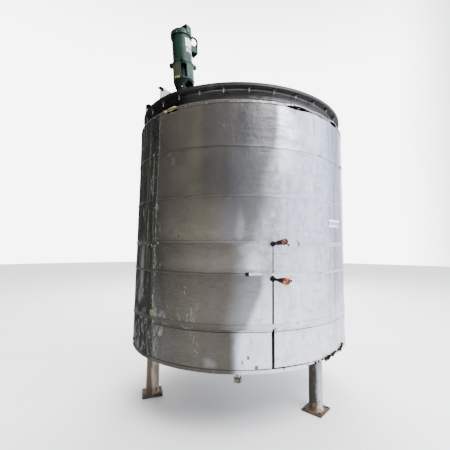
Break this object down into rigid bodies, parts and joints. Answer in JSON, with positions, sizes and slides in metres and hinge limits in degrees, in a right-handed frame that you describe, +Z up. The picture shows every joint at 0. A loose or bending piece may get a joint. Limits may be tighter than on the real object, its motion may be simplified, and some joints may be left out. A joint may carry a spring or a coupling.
{
  "type": "jacketed mixing tank",
  "caption": "Insulated, jacketed vertical tank on pipe legs, with a flat bolted cover and a tilted top-entry mixer on a channel bridge.",
  "frame": {"origin": "middle of the rectangle of floor that the part covers, at floor level; the tank's own axis stands at X 0, Y 0.147", "axes": "+Z up along the tank's axis, -Y the side seen in the picture, with the two probes just right of its middle; the mixer is at -X"},
  "size_m": [2.502, 2.7998, 4.4598],
  "materials": {
    "cladding_sheet": "thin stainless cladding sheet, dull, streaked with stains, dents and dry drips",
    "insulation_wool": "yellowish mineral wool, crumbling where it shows",
    "vessel_steel": "dull stainless steel, weathered",
    "flange_steel": "dark, dirty steel plate",
    "leg_steel": "grey pipe with old paint and dirt, rusty base plates",
    "bridge_steel": "galvanised, dull and stained",
    "dark_fitting": "blackened fitting",
    "probe_head": "copper-coloured, dull and dark on the side",
    "machine_paint": "dark green machine paint, faded and dusty",
    "lead_rubber": "black flexible lead"
  },
  "bodies": {
    "tank": {"vessel_shell": "vessel_steel", "bottom_head": "vessel_steel", "jacket": "vessel_steel", "insulation": "insulation_wool", "cladding_course_1": "cladding_sheet", "cladding_course_2": "cladding_sheet", "cladding_course_3": "cladding_sheet", "cladding_course_4": "cladding_sheet", "cladding_course_5": "cladding_sheet", "cladding_course_6": "cladding_sheet", "hoop_band_1": "cladding_sheet", "hoop_band_2": "cladding_sheet", "hoop_band_3": "cladding_sheet", "hoop_band_4": "cladding_sheet", "hoop_band_5": "cladding_sheet", "bottom_trim_ring": "cladding_sheet", "top_flashing": "cladding_sheet", "bottom_closing_sheet": "cladding_sheet", "body_flange": "flange_steel", "cover_plate": "flange_steel", "hatch_neck": "vessel_steel", "hatch_lid": "vessel_steel", "left_leg": "leg_steel", "right_leg": "leg_steel", "rear_leg": "leg_steel", "jacket_drain": "vessel_steel", "bottom_outlet": "vessel_steel", "upper_probe_neck": "dark_fitting", "upper_probe_head": "probe_head", "lower_probe_neck": "dark_fitting", "lower_probe_head": "probe_head", "front_bridge_channel": "bridge_steel", "rear_bridge_channel": "bridge_steel", "mixer_base_plate": "vessel_steel", "mixer_riser": "vessel_steel", "seal_housing": "vessel_steel", "arched_pedestal": "machine_paint", "coupling_lantern": "machine_paint", "motor_adapter": "machine_paint", "motor": "machine_paint", "fan_cover": "machine_paint", "rain_hood": "machine_paint", "conduit_box": "machine_paint", "motor_lead": "lead_rubber"},
    "agitator": {"shaft_coupling": "vessel_steel", "agitator_shaft": "vessel_steel", "impeller": "vessel_steel"}
  },
  "joints": [
    {"name": "agitator_turn", "type": "hinge", "parent": "tank", "child": "agitator", "pos_m": [-0.716, -0.017, 3.303], "axis": [-0.085, -0.0195, 0.9962], "continuous": true}
  ]
}
